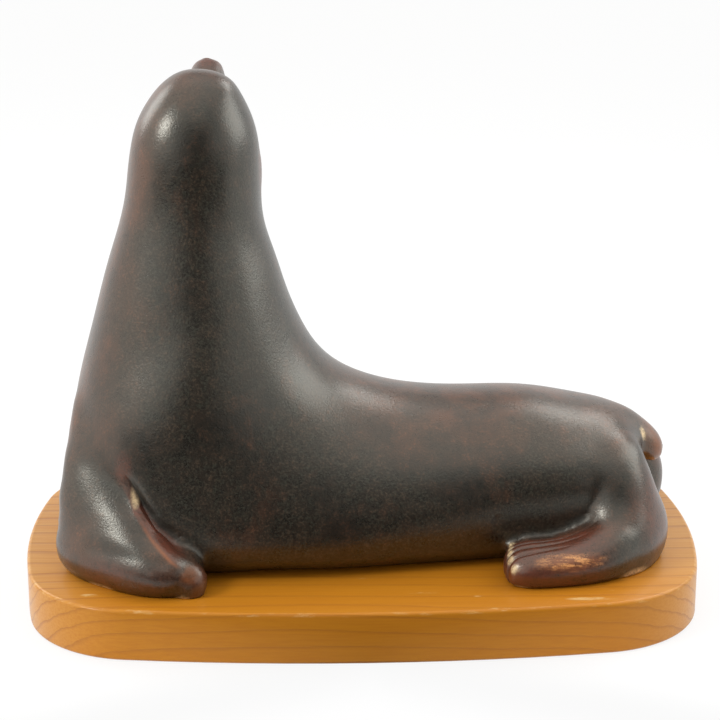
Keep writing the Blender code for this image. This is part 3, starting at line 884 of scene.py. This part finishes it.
def curvature(mesh, passes):
    """How far each point stands out from the skin around it, in millimetres."""
    clay, normals = skin_points(mesh)
    count = len(clay)
    ends = np.empty(len(mesh.edges) * 2, int)
    mesh.edges.foreach_get("vertices", ends)
    ends = ends.reshape(-1, 2)
    links = np.bincount(ends.ravel(), minlength=count)

    def average(values):
        total = np.zeros_like(values)
        np.add.at(total, ends[:, 0], values[ends[:, 1]])
        np.add.at(total, ends[:, 1], values[ends[:, 0]])
        return total / links[:, None]

    smooth = clay
    for _ in range(passes):
        smooth = average(smooth)
    return np.einsum("ij,ij->i", clay - smooth, normals)


def rising(values, start, end):
    """0 up to start, 1 from end on, and straight between. It falls where end is below start."""
    return np.clip((values - start) / (end - start), 0, 1)


def paint_curvature(mesh):
    """Where the glaze is thin over an edge, where the skin is hollow, which takes painted shade, and
    the sides that face up and towards the chest, which are painted lighter as if lit.
    """
    bulge = curvature(mesh, CURVATURE_PASSES)
    _, normals = skin_points(mesh)
    upwards = rising(normals[:, 2], *LIT_SIDE_UPWARDS)
    forwards = rising(-normals[:, 0], *LIT_SIDE_FORWARDS)
    store_mask(mesh, "edge", rising(bulge, *EDGE_BULGE))
    store_mask(mesh, "hollow", rising(-bulge, *HOLLOW_DEPTH))
    store_mask(mesh, "lit_side", np.maximum(upwards, forwards))


def patch(places, oval, strength=1.0):
    """A soft oval patch, as strong as given in the middle and 0 outside."""
    centre, radii = oval
    away = np.linalg.norm((places - np.array(centre)) / np.array(radii), axis=1)
    return strength * np.clip(2 * (1 - away), 0, 1)


def paint_details(mesh):
    """Painted shade in the cuts, red where the glaze is thin, orange or cream where it is worn off,
    and worn glaze with a painted highlight on the flipper's knob.
    """
    clay, _ = skin_points(mesh)
    near, foot = near_side(clay)
    head = head_side(clay)
    away, strength = flipper_gap(near)
    band = rising(away, *BAND_START) * rising(away, *BAND_END) * strength
    # Painted shade: the crevice behind the flipper and the toe grooves are stored here to be darkened
    shade_reach = np.where(away > 0, SHADE_REACH_BODY, SHADE_REACH_FLIPPER)
    cut = strength * np.exp(-((away / shade_reach) ** 2))
    store_mask(mesh, "crease_shade", np.maximum(cut, toe_grooves(foot) / TOE_LINE_DEPTH))

    on_foot = rising(foot[:, 1], *FOOT_RED_OUTWARDS) * rising(foot[:, 2], *FOOT_RED_DOWNWARDS)
    on_foot *= rising(foot[:, 0], *FOOT_RED_FROM_HEEL) * rising(foot[:, 0], *FOOT_RED_FROM_TOES)
    red = [
        band,
        on_foot * 0.75,
        patch(head, NOSE_PATCH, 0.8),
        patch(head, EAR_PATCH),
        patch(foot, HEEL_PATCH, 0.6),
        patch(near, FLIPPER_TOP_PATCH, 0.7),
        patch(near, FLIPPER_LOW_PATCH, 0.55),
    ]
    store_mask(mesh, "red", np.maximum.reduce(red))

    ridge = strength * np.exp(-(((away - RIDGE_AWAY) / RIDGE_HALF_WIDTH) ** 2))
    ridge *= rising(near[:, 0], *RIDGE_BEGINS)
    worn = patch(foot, FOOT_WORN_PATCH)
    # The knob's orange is worn glaze with a painted highlight
    orange = [patch(clay, TAIL_PATCH, 0.55), worn * 0.7, patch(near, KNOB_WEAR_AND_HIGHLIGHT_PATCH, 0.6), ridge]
    store_mask(mesh, "orange", np.maximum.reduce(orange))
    store_mask(mesh, "worn", worn)

    bare = [patch(foot, (centre, NAIL_RADII)) for centre in NAILS]
    bare += [patch(near, FLIPPER_BARE_PATCH) * band, patch(clay, TAIL_BARE_PATCH)]
    bare += [patch(near, oval) for oval in GROUND_PATCHES]
    store_mask(mesh, "cream", np.maximum.reduce(bare))


def soften(seal):
    """Smooths the joins, strongly above the flippers and lightly at them and at the toes."""
    crisp = seal.modifiers.new("all over", "SMOOTH")
    crisp.factor = 0.5
    crisp.iterations = CRISP_PASSES
    group = seal.vertex_groups.new(name="soft")
    span = SOFT_HEIGHT - CRISP_HEIGHT
    for vertex in seal.data.vertices:
        weight = min(1, max(0, (vertex.co.z - FLOOR - CRISP_HEIGHT) / span))
        group.add([vertex.index], weight, "REPLACE")
    soft = seal.modifiers.new("joins", "SMOOTH")
    soft.factor = 0.5
    soft.iterations = SOFT_PASSES
    soft.vertex_group = group.name
    apply_modifiers(seal)
    seal.vertex_groups.clear()


def cut_flat(seal):
    """Grinds the foot of the figure flat where it stands."""
    mesh = bmesh.new()
    mesh.from_mesh(seal.data)
    everything = mesh.verts[:] + mesh.edges[:] + mesh.faces[:]
    bmesh.ops.bisect_plane(
        mesh, geom=everything, dist=1e-7, plane_co=(0, 0, FLOOR), plane_no=(0, 0, 1), clear_inner=True
    )
    rim = [edge for edge in mesh.edges if edge.is_boundary]
    bmesh.ops.triangle_fill(mesh, edges=rim, use_beauty=True, normal=(0, 0, -1))
    bmesh.ops.recalc_face_normals(mesh, faces=mesh.faces)
    mesh.to_mesh(seal.data)
    mesh.free()


def make_seal(material):
    flipper = level_form(FLIPPER_SECTIONS, 2.4)
    tip = level_form(FLIPPER_TIP_SECTIONS)
    leg = level_form(LEG_SECTIONS)
    foot = path_form(FOOT_SECTIONS, (0.25, -1, 0), 2.3)
    instep = path_form(INSTEP_SECTIONS, (0.25, -1, 0))
    snout = [(head_middle(row[0]), *row) for row in SNOUT_SECTIONS]
    ear = [(HEAD_MIDDLE_X + row[0], *row[1:]) for row in EAR_SECTIONS]
    other_ear = [(HEAD_MIDDLE_X - row[0], *row[1:]) for row in EAR_SECTIONS]
    forms = [
        body_form(),
        path_form(snout, (1, 0, 0), SNOUT_ROUNDNESS),
        path_form(ear, (1, 0, 0)),
        path_form(other_ear, (1, 0, 0)),
        flipper,
        mirrored(flipper),
        tip,
        mirrored(tip),
        leg,
        mirrored(leg, FAR_HEEL_SHIFT),
        foot,
        mirrored(foot, FAR_HEEL_SHIFT),
        instep,
        mirrored(instep, FAR_HEEL_SHIFT),
        path_form(TAIL_SECTIONS, (0, -1, 0)),
    ]
    joined = bmesh.new()
    for form in forms:
        piece = bpy.data.meshes.new("piece")
        form.to_mesh(piece)
        joined.from_mesh(piece)
    seal = as_object("seal_glazed", joined)
    remesh = seal.modifiers.new("clay", "REMESH")
    remesh.mode = "VOXEL"
    remesh.voxel_size = SKIN_GRID
    apply_modifiers(seal)
    soften(seal)
    paint_curvature(seal.data)
    refine(seal, COARSE_REACH)
    refine(seal, FINE_REACH)
    carve(seal.data)
    cut_flat(seal)
    paint_details(seal.data)
    seal.data.shade_smooth()
    seal.data.materials.append(material)
    return seal


def base_outline():
    """Points of the board's edge, as arcs that meet tangentially."""
    half_length = BASE_LENGTH / 2
    half_depth = BASE_DEPTH / 2
    side_radius = (half_length**2 + BASE_SIDE_BOW**2) / (2 * BASE_SIDE_BOW)
    end_radius = (half_depth**2 + BASE_END_BOW**2) / (2 * BASE_END_BOW)
    side_centre = Vector((0, half_depth - side_radius))
    end_centre = Vector((half_length - end_radius, 0))
    side_reach = side_radius - BASE_CORNER_RADIUS
    end_reach = end_radius - BASE_CORNER_RADIUS
    between = end_centre - side_centre
    along = (side_reach**2 - end_reach**2 + between.length_squared) / (2 * between.length)
    aside = math.sqrt(side_reach**2 - along**2)
    way = between.normalized()
    corner_centre = side_centre + way * along + Vector((way.y, -way.x)) * aside
    end_angle = math.atan2(*(corner_centre - end_centre).yx)
    side_angle = math.atan2(*(corner_centre - side_centre).yx)
    quarter = arc(end_centre, end_radius, 0, end_angle)
    quarter += arc(corner_centre, BASE_CORNER_RADIUS, end_angle, side_angle)[1:]
    quarter += arc(side_centre, side_radius, side_angle, math.pi / 2)[1:]
    half = quarter + [(-x, y) for x, y in reversed(quarter[:-1])]
    return half + [(x, -y) for x, y in reversed(half[1:-1])]


def arc(centre, radius, start, end):
    steps = max(3, math.ceil(abs(end - start) / ARC_STEP))
    angles = [start + (end - start) * i / steps for i in range(steps + 1)]
    return [(centre.x + radius * math.cos(a), centre.y + radius * math.sin(a)) for a in angles]


def make_base(material):
    board = bmesh.new()
    face = board.faces.new([board.verts.new((x, y, 0)) for x, y in base_outline()])
    raised = bmesh.ops.extrude_face_region(board, geom=[face])["geom"]
    top = [item for item in raised if isinstance(item, bmesh.types.BMVert)]
    bmesh.ops.translate(board, vec=(0, 0, BASE_THICKNESS), verts=top)
    bmesh.ops.recalc_face_normals(board, faces=board.faces)
    base = as_object("base_board", board)
    bevel = base.modifiers.new("eased edges", "BEVEL")
    bevel.width = BASE_EDGE_ROUND
    bevel.segments = 4
    bevel.limit_method = "ANGLE"
    bevel.angle_limit = math.radians(60)
    apply_modifiers(base)
    heights = np.array([vertex.co.z for vertex in base.data.vertices])
    worn = (heights < BASE_THICKNESS - 0.01 * MM) & (heights > BASE_THICKNESS - BASE_EDGE_ROUND * 0.8)
    store_mask(base.data, "edge", worn.astype(float))
    base.data.shade_smooth()
    base.data.set_sharp_from_angle(angle=math.radians(35))
    base.data.materials.append(material)
    return base


def lamp(name, place, aim, width, height, watts):
    light = bpy.data.lights.new(name, "AREA")
    light.shape = "RECTANGLE"
    light.size = width
    light.size_y = height
    light.energy = watts
    made = bpy.data.objects.new(name, light)
    made.location = place
    made.rotation_euler = (Vector(aim) - Vector(place)).to_track_quat("-Z", "Y").to_euler()
    made.visible_camera = False
    bpy.context.scene.collection.objects.link(made)
    return made


class Room(Finish):
    """The nodes of the world, made in the same way as a material's."""

    def __init__(self, name):
        self.world = bpy.data.worlds.new(name)
        self.world.use_nodes = True
        self.tree = self.world.node_tree
        self.shader = self.tree.nodes["Background"]


def backdrop_seen(finish, behind):
    """1 for what the camera sees, and for reflections where the white backdrop stands behind."""
    path = finish.tree.nodes.new("ShaderNodeLightPath")
    names = ("Is Camera Ray", "Is Glossy Ray", "Is Transmission Ray")
    camera, glossy, through = (Field(finish, path.outputs[name]) for name in names)
    return camera.larger(glossy.larger(through) * behind)


def light_scene():
    """A white tent, open and dim on the camera's side, with soft lamps at the sides and above."""
    for row in LAMPS:
        lamp(*row)
    room = Room("white tent")
    x, y, z = room.parts(room.node("ShaderNodeTexCoord", output="Generated"))
    right = x.ramp(0.25, 0.85) * TENT_RIGHT
    left = (0 - x).ramp(0.0, 0.55) * z.ramp(0.95, 0.60) * TENT_LEFT
    top = z.ramp(0.35, 0.98) * TENT_TOP
    behind = y.ramp(0.0, 0.5) * z.ramp(0.55, 0.30)
    level = TENT_LEVEL + right.larger(left).larger(top)
    shown = backdrop_seen(room, behind)
    room.wear(Color=(1, 1, 1, 1), Strength=level * (1 - shown) + shown)
    bpy.context.scene.world = room.world


def make_floor():
    sheet = bmesh.new()
    bmesh.ops.create_grid(sheet, x_segments=1, y_segments=1, size=PAPER_REACH)
    floor = as_object("floor", sheet)
    floor.data.materials.append(floor_finish())


def place_camera():
    forward = Vector((
        math.sin(VIEW_TURN) * math.cos(VIEW_ELEVATION),
        math.cos(VIEW_TURN) * math.cos(VIEW_ELEVATION),
        -math.sin(VIEW_ELEVATION),
    ))
    view = bpy.data.cameras.new("photo_view")
    view.sensor_width = SENSOR_WIDTH
    view.lens = PHOTO_LENS
    camera = bpy.data.objects.new("photo_view", view)
    camera.location = VIEW_TARGET - forward * VIEW_DISTANCE
    camera.rotation_euler = forward.to_track_quat("-Z", "Y").to_euler()
    bpy.context.scene.collection.objects.link(camera)
    bpy.context.scene.camera = camera


def main():
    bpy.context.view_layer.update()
    place_camera()
    seal = make_seal(glaze_finish())
    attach(seal, "root")
    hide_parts("seal_figure")
    base = make_base(wood_finish())
    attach(base, "root")
    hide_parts("wooden_base")
    make_floor()
    light_scene()
    bpy.context.scene.view_settings.view_transform = "Standard"


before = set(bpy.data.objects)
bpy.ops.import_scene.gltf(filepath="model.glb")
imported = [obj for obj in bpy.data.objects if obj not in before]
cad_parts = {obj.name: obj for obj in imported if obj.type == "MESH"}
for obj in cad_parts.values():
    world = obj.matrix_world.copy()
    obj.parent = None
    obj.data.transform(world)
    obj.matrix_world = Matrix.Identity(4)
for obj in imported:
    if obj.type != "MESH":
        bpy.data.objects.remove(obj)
main()
